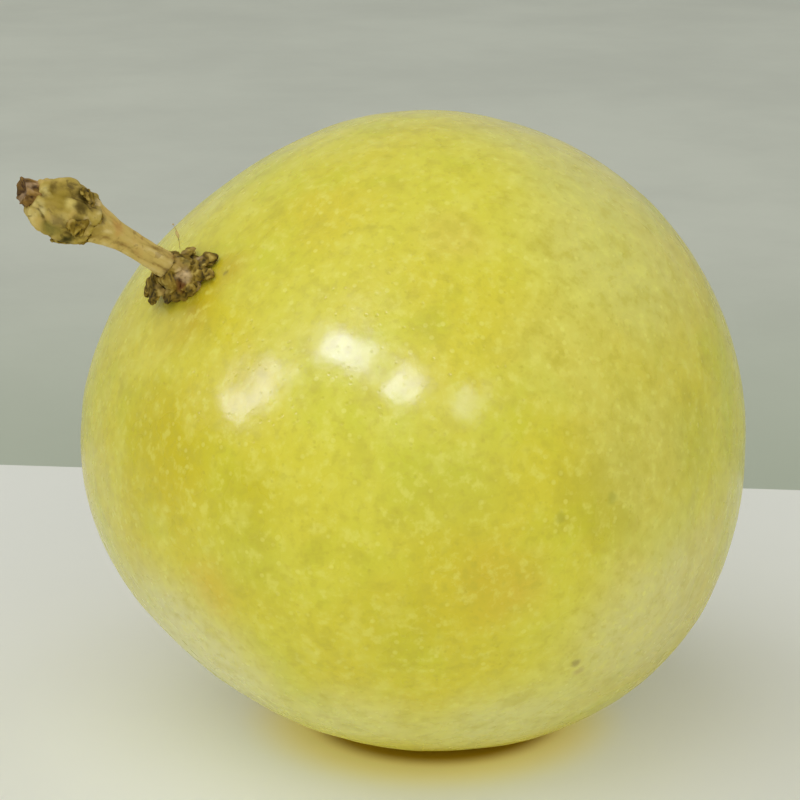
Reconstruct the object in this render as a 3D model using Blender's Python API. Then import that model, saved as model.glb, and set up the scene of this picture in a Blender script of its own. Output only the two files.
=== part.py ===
"""A yellow passion fruit as picked, lying on its side with its dry stalk and flower remains still on it.

Blender 4.5, metres, +Z up. The origin is the middle of the small flat that the fruit settles on. The
fruit's axis lies in the XZ plane: its stalk end points to -X and up, its blossom end to +X and down.

The fruit is one solid. The stalk is the dried column that carried it in the flower. Where it meets the
fruit it passes through the ring of fused stamen bases, and its far end stands in the shrivelled flower
base, beyond which a stub of the vine's own fruit stalk is left. Five withered stamens and five withered
sepals stay on their rings.
"""

import math

import bmesh
import bpy
from mathutils import Matrix, Vector

# Fruit
FRUIT_WIDTH = 0.0696  # level, across its axis
FRUIT_LENGTH = 0.0707  # along its axis
FRUIT_HEIGHT = 0.0660  # upright, as it lies; a little squat
LOBE_RISE = 0.0012  # how far each of the three ridges stands over the mean
LOBE_BREADTH = 0.0003  # how far the ridges are flattened, so they are broad and the dips narrow
LOBES = 3
BLOSSOM_FULLNESS = 0.0007  # the blossom end is a little fuller than the stalk end
SHOULDER_DEPTH = 0.0003  # how far the rind is drawn in round the stalk
SHOULDER_SPREAD = math.radians(20)
BLOSSOM_DEPTH = 0.0005  # the faint dimple at the blossom end
BLOSSOM_SPREAD = math.radians(9)
AXIS_RISE = math.radians(38.8)  # the stalk end is tipped up this far from level
REST_FLAT_WIDTH = 0.0150  # about how wide the flat is that the fruit settles on
FRUIT_SEGMENTS = 48
FRUIT_RINGS = 30

# Between any two pieces that touch
JOINT_GAP = 0.0003

# Stalk: a slim column that droops a little from the fruit's axis
STALK_LENGTH = 0.0133
STALK_RADIUS = 0.00130
STALK_FOOT_RADIUS = 0.00160  # where it widens at either end
STALK_FLARE = 0.0022  # the length over which it widens
STALK_DROOP = math.radians(12)
STALK_SIDES = 12
STALK_STATIONS = 10

# Ring of fused stamen bases, round the stalk's foot and against the rind
RING_HEIGHT = 0.0026
RING_WALL = 0.0011  # against the rind
RING_TOP_WALL = 0.0004
RING_SIDES = 24

# Flower base: a shrivelled cup whose mouth faces the fruit
CUP_LENGTH = 0.0061
CUP_BELLY_RADIUS = 0.00280
CUP_TAIL_RADIUS = 0.00150
CUP_WALL = 0.00055  # at its mouth, round the stalk's head
CUP_SOCKET_DEPTH = 0.0012
CUP_SIDES = 24

# Stub of the vine's fruit stalk, broken off short
STUB_LENGTH = 0.0016
STUB_TIP_RADIUS = 0.00115
STUB_BREAK_SLANT = math.radians(24)
STUB_SIDES = 12

# Withered stamens: five flat strips that lie outwards over the rind
STAMEN_LENGTHS = (0.0015, 0.0011, 0.0018, 0.0012, 0.0017)
STAMEN_WIDTH = 0.0017
STAMEN_THICKNESS = 0.0006
STAMEN_START = math.radians(10)  # the first one's turn from uppermost
STAMEN_LIFT = math.radians(8)  # they start this far up from square to the stalk
STAMEN_CURL = math.radians(30)

# Withered sepals: five flat strips that stand on the cup's rim and curl outwards
SEPAL_LENGTHS = (0.0011, 0.0008, 0.0010, 0.0013, 0.0009)
SEPAL_WIDTH = 0.0016
SEPAL_THICKNESS = 0.0005
SEPAL_LEAN = math.radians(12)
SEPAL_CURL = math.radians(35)

STRIP_STATIONS = 5
STRIP_TIP_SHARE = 0.45  # a strip's width at its tip, over its width at its foot
STRIPS = 5

RIND = ((0.66, 0.60, 0.10), 0.38)
DRY_STALK = ((0.47, 0.34, 0.14), 0.72)
DRY_CUP = ((0.42, 0.33, 0.12), 0.75)
WITHERED = ((0.13, 0.08, 0.035), 0.85)


def material(name, finish):
    """A Principled material of one colour and roughness."""
    colour, roughness = finish
    made = bpy.data.materials.new(name)
    made.use_nodes = True
    shader = made.node_tree.nodes["Principled BSDF"]
    shader.inputs["Base Color"].default_value = (*colour, 1.0)
    shader.inputs["Roughness"].default_value = roughness
    shader.inputs["Metallic"].default_value = 0.0
    return made


def add_object(name, bm, finish, place=Matrix.Identity(4)):
    """Links the bmesh as a named object at its place, shaded smooth but for its creases."""
    bmesh.ops.recalc_face_normals(bm, faces=bm.faces)
    mesh = bpy.data.meshes.new(name)
    bm.to_mesh(mesh)
    bm.free()
    mesh.materials.append(finish)
    mesh.shade_smooth()
    mesh.set_sharp_from_angle(angle=math.radians(40))
    made = bpy.data.objects.new(name, mesh)
    made.matrix_world = place
    bpy.context.scene.collection.objects.link(made)
    return made


# The fruit's shape --------------------------------------------------------------------------------


def rind_radius(direction):
    """How far the rind lies from the fruit's centre along a unit direction; z is its axis, stalk end up."""
    half_width = FRUIT_WIDTH / 2
    half_length = FRUIT_LENGTH / 2
    across = direction.xy.length
    ovoid = 1 / math.hypot(across / half_width, direction.z / half_length)
    polar = math.atan2(across, direction.z)
    round_axis = math.atan2(direction.y, direction.x)
    lobes = LOBE_RISE * across**2 * math.cos(LOBES * round_axis)
    lobes -= LOBE_BREADTH * across**4 * math.cos(2 * LOBES * round_axis)
    fullness = -BLOSSOM_FULLNESS * math.cos(3 * polar)
    shoulder = SHOULDER_DEPTH * math.exp(-((polar / SHOULDER_SPREAD) ** 2))
    dimple = BLOSSOM_DEPTH * math.exp(-(((math.pi - polar) / BLOSSOM_SPREAD) ** 2))
    return ovoid + lobes + fullness - shoulder - dimple


def lay_over():
    """The turn that tips the fruit's own axis from +Z down towards -X, then makes it squat."""
    tip = Matrix.Rotation(AXIS_RISE - math.pi / 2, 4, "Y")
    return Matrix.Diagonal((1, 1, FRUIT_HEIGHT / FRUIT_WIDTH, 1)) @ tip


def lowest_point():
    """The rind's lowest point, from the fruit's centre. It is in the XZ plane, where the fruit is even."""
    turn = lay_over()
    steps = 720
    found = Vector((0, 0, 0))
    for step in range(steps):
        angle = 2 * math.pi * step / steps
        direction = Vector((math.sin(angle), 0, math.cos(angle)))
        point = turn @ (direction * rind_radius(direction))
        found = min(found, point, key=lambda p: p.z)
    return found


def fruit_matrix():
    """Places the fruit's own frame in the part's: its settled flat lies on z = 0 about the origin."""
    flat_depth = REST_FLAT_WIDTH**2 / (4 * FRUIT_WIDTH)
    low = lowest_point()
    return Matrix.Translation((-low.x, 0, -low.z - flat_depth)) @ lay_over()


def stalk_seat():
    """(point, rise): where the stalk's axis leaves the rind, and how steeply, square to the rind."""
    up = Vector((0, 0, 1))
    place = fruit_matrix()
    square = (place.to_3x3().inverted().transposed() @ up).normalized()
    return place @ (up * rind_radius(up)), math.atan2(square.z, -square.x)


def make_fruit(finish):
    """The whole fruit: a ball drawn out to the rind's shape, then cut level where it settles."""
    bm = bmesh.new()
    bmesh.ops.create_uvsphere(bm, u_segments=FRUIT_SEGMENTS, v_segments=FRUIT_RINGS, radius=1)
    for vert in bm.verts:
        vert.co *= rind_radius(vert.co.normalized())
    bmesh.ops.transform(bm, matrix=fruit_matrix(), verts=bm.verts)
    everything = [*bm.verts, *bm.edges, *bm.faces]
    cut = bmesh.ops.bisect_plane(
        bm, geom=everything, dist=1e-7, plane_co=(0, 0, 0), plane_no=(0, 0, -1), clear_outer=True
    )
    rim = [edge for edge in cut["geom_cut"] if isinstance(edge, bmesh.types.BMEdge)]
    bmesh.ops.edgeloop_fill(bm, edges=rim)
    return add_object("fruit", bm, finish)


# The stalk's line ---------------------------------------------------------------------------------


def along_stalk(distance):
    """The frame at a distance along the stalk's line, an arc from the rind: +Z onwards, +Y level."""
    seat, rise = stalk_seat()
    bend = STALK_DROOP / STALK_LENGTH
    rise_here = rise - bend * distance
    out = (math.sin(rise) - math.sin(rise_here)) / bend
    up = (math.cos(rise_here) - math.cos(rise)) / bend
    place = Matrix.Translation(seat + Vector((-out, 0, up)))
    return place @ Matrix.Rotation(rise_here - math.pi / 2, 4, "Y")


def extrude_end(bm, end):
    """Extrudes an end face with its edges and gives the new end face, still to be moved."""
    grown = bmesh.ops.extrude_face_region(bm, geom=[end, *end.edges])["geom"]
    return next(item for item in grown if isinstance(item, bmesh.types.BMFace))


def sweep(stations, sides):
    """A closed bmesh through round sections, each a (frame, radius) pair in order."""
    bm = bmesh.new()
    frame, radius = stations[0]
    bmesh.ops.create_circle(bm, cap_ends=True, segments=sides, radius=radius, matrix=frame)
    end = bm.faces[:][0]
    for next_frame, next_radius in stations[1:]:
        end = extrude_end(bm, end)
        resize = Matrix.Scale(next_radius / radius, 4)
        bmesh.ops.transform(bm, matrix=next_frame @ resize @ frame.inverted(), verts=end.verts)
        frame, radius = next_frame, next_radius
    return bm


def turned(outline, sides):
    """A closed bmesh turned about +Z from a closed outline of (radius, height) points."""
    bm = bmesh.new()
    corners = [bm.verts.new((radius, 0, height)) for radius, height in outline]
    edges = [bm.edges.new((a, b)) for a, b in zip(corners, corners[1:])]
    if min(radius for radius, _ in outline) > 0:
        edges.append(bm.edges.new((corners[-1], corners[0])))
    bmesh.ops.spin(
        bm,
        geom=corners + edges,
        cent=(0, 0, 0),
        axis=(0, 0, 1),
        angle=2 * math.pi,
        steps=sides,
        use_merge=True,
    )
    bmesh.ops.remove_doubles(bm, verts=bm.verts, dist=1e-7)
    return bm


# The pieces on the stalk's line -------------------------------------------------------------------


def stalk_hole_radius():
    """The radius of a hole that the stalk's foot or head just clears."""
    return STALK_FOOT_RADIUS + JOINT_GAP


def make_stalk(finish):
    """The column from just off the rind to the bottom of the cup's socket, wider at both ends."""
    start = JOINT_GAP
    length = STALK_LENGTH - start
    stations = []
    for step in range(STALK_STATIONS + 1):
        travelled = length * step / STALK_STATIONS
        from_end = min(travelled, length - travelled)
        widening = max(0.0, 1 - from_end / STALK_FLARE) ** 2
        radius = STALK_RADIUS + (STALK_FOOT_RADIUS - STALK_RADIUS) * widening
        stations.append((along_stalk(start + travelled), radius))
    return add_object("stalk", sweep(stations, STALK_SIDES), finish)


def make_stamen_ring(finish):
    """The ring of fused stamen bases: it lies against the rind, and the stalk's foot passes through it."""
    bore = stalk_hole_radius()
    shoulder_wall = RING_WALL * 0.35 + RING_TOP_WALL * 0.65
    outline = [
        (bore, JOINT_GAP),
        (bore + RING_WALL, JOINT_GAP),
        (bore + RING_WALL, JOINT_GAP + RING_HEIGHT * 0.45),
        (bore + shoulder_wall, JOINT_GAP + RING_HEIGHT * 0.8),
        (bore + RING_TOP_WALL, JOINT_GAP + RING_HEIGHT),
        (bore, JOINT_GAP + RING_HEIGHT),
    ]
    return add_object("stamen_ring", turned(outline, RING_SIDES), finish, along_stalk(0))


def cup_mouth():
    """The frame at the middle of the cup's mouth, +Z towards its tail."""
    return along_stalk(STALK_LENGTH + JOINT_GAP - CUP_SOCKET_DEPTH)


def make_flower_base(finish):
    """The shrivelled cup: its socket holds the stalk's head, and it narrows to the stub behind it."""
    socket = stalk_hole_radius()
    outline = [
        (0, CUP_SOCKET_DEPTH),
        (socket, CUP_SOCKET_DEPTH),
        (socket, 0),
        (socket + CUP_WALL, 0),
        (socket + CUP_WALL, CUP_LENGTH * 0.10),
        (CUP_BELLY_RADIUS, CUP_LENGTH * 0.30),
        (CUP_BELLY_RADIUS, CUP_LENGTH * 0.52),
        (CUP_BELLY_RADIUS * 0.88, CUP_LENGTH * 0.76),
        (CUP_TAIL_RADIUS * 1.15, CUP_LENGTH * 0.94),
        (CUP_TAIL_RADIUS, CUP_LENGTH),
        (0, CUP_LENGTH),
    ]
    return add_object("flower_base", turned(outline, CUP_SIDES), finish, cup_mouth())


def make_stub(finish):
    """The broken stub of the fruit stalk, behind the flower base and cut off on a slant."""
    middle = Matrix.Translation((0, 0, STUB_LENGTH * 0.4))
    tip = Matrix.Translation((0, 0, STUB_LENGTH)) @ Matrix.Rotation(STUB_BREAK_SLANT, 4, "X")
    foot_radius = CUP_TAIL_RADIUS * 0.92
    middle_radius = (foot_radius + STUB_TIP_RADIUS) / 2
    stations = [(Matrix.Identity(4), foot_radius), (middle, middle_radius), (tip, STUB_TIP_RADIUS)]
    tail = cup_mouth() @ Matrix.Translation((0, 0, CUP_LENGTH + JOINT_GAP))
    return add_object("fruit_stalk_stub", sweep(stations, STUB_SIDES), finish, tail)


def strip(length, width, thickness, curl):
    """A closed bmesh of a flat strip that runs along +X, narrows, and curls towards -Z."""
    bm = bmesh.new()
    bmesh.ops.create_grid(bm, x_segments=1, y_segments=1, size=0.5)
    stand = Matrix.Rotation(math.pi / 2, 4, "Y")
    size = Matrix.Diagonal((1, width, thickness, 1))
    bmesh.ops.transform(bm, matrix=size @ stand, verts=bm.verts)
    end = bm.faces[:][0]
    here = Matrix.Identity(4)
    width_step = STRIP_TIP_SHARE ** (1 / STRIP_STATIONS)
    onward = (
        Matrix.Translation((length / STRIP_STATIONS, 0, 0))
        @ Matrix.Rotation(curl / STRIP_STATIONS, 4, "Y")
        @ Matrix.Diagonal((1, width_step, 1, 1))
    )
    for _ in range(STRIP_STATIONS):
        end = extrude_end(bm, end)
        bmesh.ops.transform(bm, matrix=here @ onward @ here.inverted(), verts=end.verts)
        here = here @ onward
    return bm


def make_stamens(finish):
    """Five strips round the stamen ring's side, just clear of the rind, curling down with it."""
    middle_height = JOINT_GAP + RING_HEIGHT * 0.45 - STAMEN_THICKNESS / 2
    made = []
    for index, length in enumerate(STAMEN_LENGTHS):
        spoke = Matrix.Rotation(STAMEN_START + 2 * math.pi * index / STRIPS, 4, "Z")
        outwards = Matrix.Translation((stalk_hole_radius() + RING_WALL + JOINT_GAP, 0, middle_height))
        lift = Matrix.Rotation(-STAMEN_LIFT, 4, "Y")
        bm = strip(length, STAMEN_WIDTH, STAMEN_THICKNESS, STAMEN_CURL)
        place = along_stalk(0) @ spoke @ outwards @ lift
        made.append(add_object(f"stamen_{index + 1}", bm, finish, place))
    return made


def make_sepals(finish):
    """Five strips that stand on the cup's rim, towards the fruit, and curl outwards."""
    rim_radius = stalk_hole_radius() + CUP_WALL / 2
    below_rim = JOINT_GAP + SEPAL_THICKNESS / 2 * math.sin(SEPAL_LEAN)
    made = []
    for index, length in enumerate(SEPAL_LENGTHS):
        spoke = Matrix.Rotation(2 * math.pi * index / STRIPS, 4, "Z")
        on_rim = Matrix.Translation((rim_radius + SEPAL_THICKNESS / 2, 0, -below_rim))
        stand = Matrix.Rotation(math.pi / 2 - SEPAL_LEAN, 4, "Y")
        bm = strip(length, SEPAL_WIDTH, SEPAL_THICKNESS, -SEPAL_CURL)
        place = cup_mouth() @ spoke @ on_rim @ stand
        made.append(add_object(f"sepal_{index + 1}", bm, finish, place))
    return made


def main():
    """Clears the scene and builds every piece in place."""
    for old in list(bpy.data.objects):
        bpy.data.objects.remove(old)
    make_fruit(material("rind", RIND))
    dry_stalk = material("dry_stalk", DRY_STALK)
    withered = material("withered", WITHERED)
    make_stalk(dry_stalk)
    make_stamen_ring(withered)
    make_flower_base(material("dry_cup", DRY_CUP))
    make_stub(dry_stalk)
    make_stamens(withered)
    make_sepals(withered)


main()
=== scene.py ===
"""A yellow passion fruit lying on its side: waxy mottled rind, dry stalk and withered flower."""

import logging
import math
from collections.abc import Callable, Iterable, Mapping, Sequence
from dataclasses import dataclass, field
from enum import Enum

import bmesh
import bpy
import numpy as np
from mathutils import Matrix, Vector, noise


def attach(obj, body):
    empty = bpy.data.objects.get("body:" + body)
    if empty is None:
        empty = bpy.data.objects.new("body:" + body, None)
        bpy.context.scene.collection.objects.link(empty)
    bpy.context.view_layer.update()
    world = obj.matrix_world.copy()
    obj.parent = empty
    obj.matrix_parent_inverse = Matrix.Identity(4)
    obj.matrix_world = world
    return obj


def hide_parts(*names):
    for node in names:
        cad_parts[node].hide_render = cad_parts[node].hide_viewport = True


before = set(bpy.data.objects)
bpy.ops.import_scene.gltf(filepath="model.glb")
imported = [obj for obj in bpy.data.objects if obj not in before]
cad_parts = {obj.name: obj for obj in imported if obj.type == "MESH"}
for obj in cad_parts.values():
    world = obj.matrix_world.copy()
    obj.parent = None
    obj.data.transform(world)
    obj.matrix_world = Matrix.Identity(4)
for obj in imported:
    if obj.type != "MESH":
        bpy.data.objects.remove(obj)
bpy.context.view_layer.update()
MM = 0.001

Colour = tuple[float, float, float]
Outline = Sequence[tuple[float, float]]
Rumple = Callable[[Vector], tuple[Vector, float]]

log = logging.getLogger("passion_fruit")


class Body(Enum):
    """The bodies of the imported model."""

    ROOT = "root"


class Light(Enum):
    """What a lamp does: only lights matt surfaces, or only shows as a sheen."""

    MATT = "matt"
    SHEEN = "sheen"


class Slot(Enum):
    """The record's material slots."""

    RIND = "rind"
    DRY_STALK = "dry_stalk"
    DRY_CUP = "dry_cup"
    WITHERED = "withered"


# Shader maths ----------------------------------------------------------------


class Field:
    """A value that varies over a surface: an output socket that can be written into expressions."""

    def __init__(self, recipe: "Recipe", socket: bpy.types.NodeSocket) -> None:
        """Wraps one output socket of a recipe's node tree."""
        self.recipe = recipe
        self.socket = socket

    def _math(self, operation: str, first: object, second: object) -> "Field":
        """A Math node of two values."""
        return self.recipe.add("ShaderNodeMath", {"operation": operation}, {0: first, 1: second})

    def __add__(self, other: object) -> "Field":
        """self + other."""
        return self._math("ADD", self, other)

    def __radd__(self, other: object) -> "Field":
        """other + self."""
        return self._math("ADD", other, self)

    def __sub__(self, other: object) -> "Field":
        """self - other."""
        return self._math("SUBTRACT", self, other)

    def __rsub__(self, other: object) -> "Field":
        """other - self."""
        return self._math("SUBTRACT", other, self)

    def __mul__(self, other: object) -> "Field":
        """self * other."""
        return self._math("MULTIPLY", self, other)

    def __rmul__(self, other: object) -> "Field":
        """other * self."""
        return self._math("MULTIPLY", other, self)

    def rise(self, low: float, high: float, start: float = 0.0, end: float = 1.0) -> "Field":
        """Goes smoothly from start to end as this value goes from low to high.

        Args:
            low: the value at which the rise starts.
            high: the value at which it ends.
            start: what it gives below low.
            end: what it gives above high.

        Returns:
            The eased value.
        """
        ends = {"Value": self, "From Min": low, "From Max": high, "To Min": start, "To Max": end}
        return self.recipe.add("ShaderNodeMapRange", {"interpolation_type": "SMOOTHSTEP"}, ends)


class Recipe:
    """One material's node tree, built up from expressions."""

    def __init__(self, name: str) -> None:
        """Starts an empty material.

        Args:
            name: the material's name.
        """
        self.material = bpy.data.materials.new(name)
        self.material.use_nodes = True
        self.tree = self.material.node_tree
        self.tree.nodes.clear()
        self.place = self.add("ShaderNodeTexCoord", output="Object")

    def add(
        self,
        kind: str,
        settings: Mapping[str, object] | None = None,
        inputs: Mapping[str | int, object] | None = None,
        output: str | int = 0,
    ) -> Field:
        """Adds any node.

        Args:
            kind: the node's type.
            settings: its own settings, set before its sockets.
            inputs: a value or a Field for each socket, by name or number.
            output: which output is wanted.

        Returns:
            The wanted output.
        """
        node = self.tree.nodes.new(kind)
        for name, value in (settings or {}).items():
            setattr(node, name, value)
        for key, value in (inputs or {}).items():
            self.feed(node.inputs[key], value)
        return Field(self, node.outputs[output])

    def feed(self, socket: bpy.types.NodeSocket, value: object) -> None:
        """Links a Field to a socket, or sets the socket's own value.

        Args:
            socket: the input to feed.
            value: a Field, or a plain value.
        """
        if isinstance(value, Field):
            self.tree.links.new(value.socket, socket)
        elif isinstance(value, tuple) and len(value) == 3 and socket.type == "RGBA":
            socket.default_value = (*value, 1.0)
        else:
            socket.default_value = value

    def noise(
        self, size: float, detail: float = 2.0, rough: float = 0.5, where: Field | None = None
    ) -> Field:
        """Soft noise, from 0 to 1 about 0.5.

        Args:
            size: how many metres across its blotches are.
            detail: how many finer layers it has.
            rough: how strong they are.
            where: the place it is read at, if not the piece's own.

        Returns:
            The noise.
        """
        inputs = {"Vector": where or self.place, "Scale": 1 / size}
        inputs |= {"Detail": detail, "Roughness": rough}
        return self.add("ShaderNodeTexNoise", {}, inputs)

    def cells(self, size: float) -> tuple[Field, Field]:
        """Scattered points about size metres apart.

        Args:
            size: the mean distance between them.

        Returns:
            The distance to the nearest point, over size, and a random number that each point keeps.
        """
        node = self.tree.nodes.new("ShaderNodeTexVoronoi")
        self.feed(node.inputs["Vector"], self.place)
        node.inputs["Scale"].default_value = 1 / size
        colour = Field(self, node.outputs["Color"])
        chance = self.add("ShaderNodeSeparateColor", {}, {0: colour})
        return Field(self, node.outputs["Distance"]), chance

    def distance(self, point: Sequence[float], where: Field | None = None) -> Field:
        """The distance in metres from a point of the object."""
        inputs = {0: where or self.place, 1: tuple(point)}
        return self.add("ShaderNodeVectorMath", {"operation": "DISTANCE"}, inputs, "Value")

    def shifted(self, amount: float, size: float) -> Field:
        """The place, pushed about by noise, which makes ragged edges.

        Args:
            amount: how far it is pushed at most.
            size: how far apart the noise's blotches lie.

        Returns:
            The pushed place.
        """
        inputs = {"Vector": self.place, "Scale": 1 / size, "Detail": 2.0}
        wobble = self.add("ShaderNodeTexNoise", {}, inputs, "Color")
        kind, middle = "ShaderNodeVectorMath", (0.5, 0.5, 0.5)
        centred = self.add(kind, {"operation": "SUBTRACT"}, {0: wobble, 1: middle})
        scaled = self.add(kind, {"operation": "SCALE"}, {0: centred, "Scale": amount * 2})
        return self.add(kind, {"operation": "ADD"}, {0: self.place, 1: scaled})

    def mix(self, share: object, first: object, second: object) -> Field:
        """One colour laid over another.

        Args:
            share: how much of the second colour shows.
            first: the colour underneath.
            second: the colour on top.

        Returns:
            The mixed colour.
        """
        settings = {"data_type": "RGBA", "blend_type": "MIX", "clamp_factor": True}
        return self.add("ShaderNodeMix", settings, {0: share, 6: first, 7: second}, 2)

    def lay(
        self, base: Field | Colour, patches: Iterable["Patch"], ragged: Field
    ) -> Field | Colour:
        """Lays patches of other tints over a colour.

        Args:
            base: the colour underneath.
            patches: what to lay on it.
            ragged: the place that their edges are measured in.

        Returns:
            The colour with the patches on.
        """
        for patch in patches:
            away = self.distance([value * MM for value in patch.middle], ragged)
            reach = patch.reach * MM
            share = away.rise(reach * patch.core, reach, patch.strength, 0.0)
            base = self.mix(share, base, patch.tint)
        return base

    def bump(self, height: Field, depth: float) -> Field:
        """The surface's normal under a relief, whose height of 1 stands depth metres."""
        inputs = {"Strength": 1.0, "Distance": depth, "Height": height}
        return self.add("ShaderNodeBump", {}, inputs)

    def surface(self, **sockets: object) -> bpy.types.Material:
        """Finishes the material with a Principled shader.

        Args:
            sockets: a value or a Field for each of its sockets, with _ for a space.

        Returns:
            The finished material.
        """
        inputs = {name.replace("_", " "): value for name, value in sockets.items()}
        shader = self.add("ShaderNodeBsdfPrincipled", {}, inputs)
        output = self.tree.nodes.new("ShaderNodeOutputMaterial")
        self.tree.links.new(shader.socket, output.inputs["Surface"])
        return self.material


# Finishes --------------------------------------------------------------------


@dataclass(frozen=True)
class Patch:
    """A soft patch of another tint: its middle and reach in millimetres, its tint and strength.

    Its core is the share of its reach that is at full strength; from there it fades out.
    """

    middle: tuple[float, float, float]
    reach: float
    tint: Colour
    strength: float
    core: float = 0.25


@dataclass(frozen=True)
class Speckle:
    """Blotches: their size in mm, and the noise and share at which they are darkest and palest."""

    size: float
    dark_at: float
    dark: float
    pale_at: float
    pale: float

    def lay(self, recipe: Recipe, base: Field, tints: tuple[Colour, Colour]) -> Field:
        """Lays them on a colour.

        Args:
            recipe: the material's recipe.
            base: the colour underneath.
            tints: the dark and the pale tint.

        Returns:
            The speckled colour.
        """
        value = recipe.noise(self.size * MM, 3.0, 0.6)
        base = recipe.mix(value.rise(0.50, self.dark_at, 0.0, self.dark), base, tints[0])
        return recipe.mix(value.rise(0.48, self.pale_at, 0.0, self.pale), base, tints[1])


@dataclass(frozen=True)
class RindFinish:
    """Waxy yellow rind: lemon, gold and green, fine pale dots, a few specks, painted shade,
    reflection and sheen. Sizes are in mm.
    """

    lemon: Colour = (0.69, 0.645, 0.050)
    gold: Colour = (0.68, 0.575, 0.025)
    green: Colour = (0.60, 0.615, 0.025)
    dot: Colour = (0.80, 0.77, 0.15)
    pore: Colour = (0.53, 0.465, 0.030)
    speck: Colour = (0.20, 0.15, 0.03)
    gold_size: float = 22.0
    green_size: float = 9.0
    speckles: tuple[Speckle, ...] = (
        Speckle(3.0, 0.72, 0.40, 0.28, 0.30),
        Speckle(1.2, 0.70, 0.42, 0.30, 0.42),
    )
    dot_gap: float = 1.15
    pore_gap: float = 0.8
    speck_gap: float = 11.0
    peel_size: float = 2.4
    grain_size: float = 0.7
    relief_depth: float = 0.085
    patches: tuple[Patch, ...] = (
        Patch((-36.8, -9.0, 37.2), 11.0, (0.61, 0.51, 0.003), 0.85),
        Patch((-33.5, -19.3, 34.2), 6.0, (0.57, 0.51, 0.010), 0.60),
        # Ochre round the stalk's foot, in the next three patches: partly deeper gold, partly
        # painted shade under the collar.
        Patch((-31.0, -3.5, 49.0), 6.5, (0.58, 0.44, 0.006), 0.85),
        Patch((-31.3, -2.8, 50.0), 3.2, (0.42, 0.30, 0.004), 0.70),
        Patch((-28.4, -5.0, 53.2), 4.2, (0.56, 0.43, 0.010), 0.75),
        Patch((-34.7, -16.0, 24.8), 4.5, (0.70, 0.47, 0.040), 0.45),
        Patch((-13.2, -34.3, 27.5), 6.0, (0.66, 0.43, 0.045), 0.45),
        Patch((-2.4, -34.5, 34.7), 7.5, (0.52, 0.45, 0.015), 0.55),
        Patch((-18.2, -32.5, 36.1), 8.0, (0.52, 0.53, 0.030), 0.40),
        Patch((-33.1, -20.5, 29.0), 6.0, (0.53, 0.52, 0.030), 0.40),
        Patch((10.8, -29.2, 36.8), 7.0, (0.52, 0.50, 0.030), 0.40),
        Patch((-10.4, -19.5, 57.8), 5.0, (0.70, 0.54, 0.110), 0.35),
        # Painted reflection of the white card on the lower rim, in the next two patches.
        Patch((5.1, -31.5, 19.7), 15.0, (0.72, 0.68, 0.270), 0.70),
        Patch((-8.0, -26.0, 8.5), 12.0, (0.74, 0.71, 0.260), 0.70),
        # Painted sheen of the overhead light near the top.
        Patch((7.7, -9.1, 62.6), 14.0, (0.66, 0.625, 0.150), 0.70),
        # Painted reflection of the white card on the lower left rim, in the next two patches.
        Patch((-33.0, -8.0, 15.0), 14.0, (0.77, 0.75, 0.360), 0.75),
        Patch((-22.0, -21.0, 9.5), 10.0, (0.76, 0.73, 0.250), 0.60),
        # Paler areas on the front, in the next three patches.
        Patch((6.9, -21.9, 54.9), 16.0, (0.68, 0.645, 0.200), 0.55),
        Patch((2.8, -32.4, 38.3), 11.0, (0.66, 0.630, 0.160), 0.40),
        Patch((-4.8, -29.9, 47.2), 9.0, (0.71, 0.675, 0.160), 0.40),
        Patch((-17.5, -33.2, 28.3), 9.0, (0.66, 0.520, 0.015), 0.45),
        Patch((-22.1, -29.9, 23.6), 7.0, (0.60, 0.520, 0.020), 0.40),
        Patch((-33.8, -2.2, 46.4), 5.0, (0.75, 0.675, 0.070), 0.60),
    )
    specks: tuple[Patch, ...] = (
        Patch((-28.0, -5.4, 53.0), 0.55, (0.33, 0.25, 0.03), 0.85),
        Patch((-31.4, -2.8, 49.7), 0.70, (0.36, 0.26, 0.02), 0.50),
        Patch((-3.7, -31.8, 17.1), 0.80, (0.28, 0.22, 0.05), 0.62),
        Patch((-2.9, -31.2, 15.8), 0.90, (0.48, 0.37, 0.09), 0.55),
        Patch((-1.6, -34.4, 34.3), 0.90, (0.40, 0.38, 0.03), 0.60),
        Patch((-7.7, -35.0, 33.5), 0.80, (0.42, 0.39, 0.03), 0.55),
    )

    def make(self, stalk_end: Vector, blossom_end: Vector) -> bpy.types.Material:
        """The rind.

        Args:
            stalk_end: where the stalk leaves the rind.
            blossom_end: where the flower's tip has left its scar.

        Returns:
            The finished material.
        """
        recipe = Recipe("waxy_rind")
        drift = recipe.noise(self.gold_size * MM, 2.0).rise(0.40, 0.66, 0.0, 0.75)
        green = recipe.noise(self.green_size * MM, 3.0, where=recipe.shifted(3 * MM, 8 * MM))
        greening = green.rise(0.48, 0.70, 0.0, 0.55)
        colour = recipe.mix(drift, self.lemon, self.gold)
        colour = recipe.mix(greening, colour, self.green)
        colour = recipe.lay(colour, self.patches, recipe.shifted(2.2 * MM, 6 * MM))
        for speckle in self.speckles:
            colour = speckle.lay(recipe, colour, (self.pore, self.dot))

        near, chance = recipe.cells(self.dot_gap * MM)
        dots = near.rise(0.12, 0.27, 1.0, 0.0) * chance.rise(0.25, 0.85)
        colour = recipe.mix(dots * 0.40, colour, self.dot)
        pit, pit_chance = recipe.cells(self.pore_gap * MM)
        pores = pit.rise(0.10, 0.28, 1.0, 0.0) * pit_chance.rise(0.45, 0.8)
        colour = recipe.mix(pores * 0.30, colour, self.pore)
        far, rare = recipe.cells(self.speck_gap * MM)
        stray = far.rise(0.020, 0.034, 1.0, 0.0) * rare.rise(0.55, 0.60)
        colour = recipe.mix(stray * 0.75, colour, self.speck)
        colour = recipe.lay(colour, self.specks, recipe.shifted(0.25 * MM, 0.7 * MM))

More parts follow.
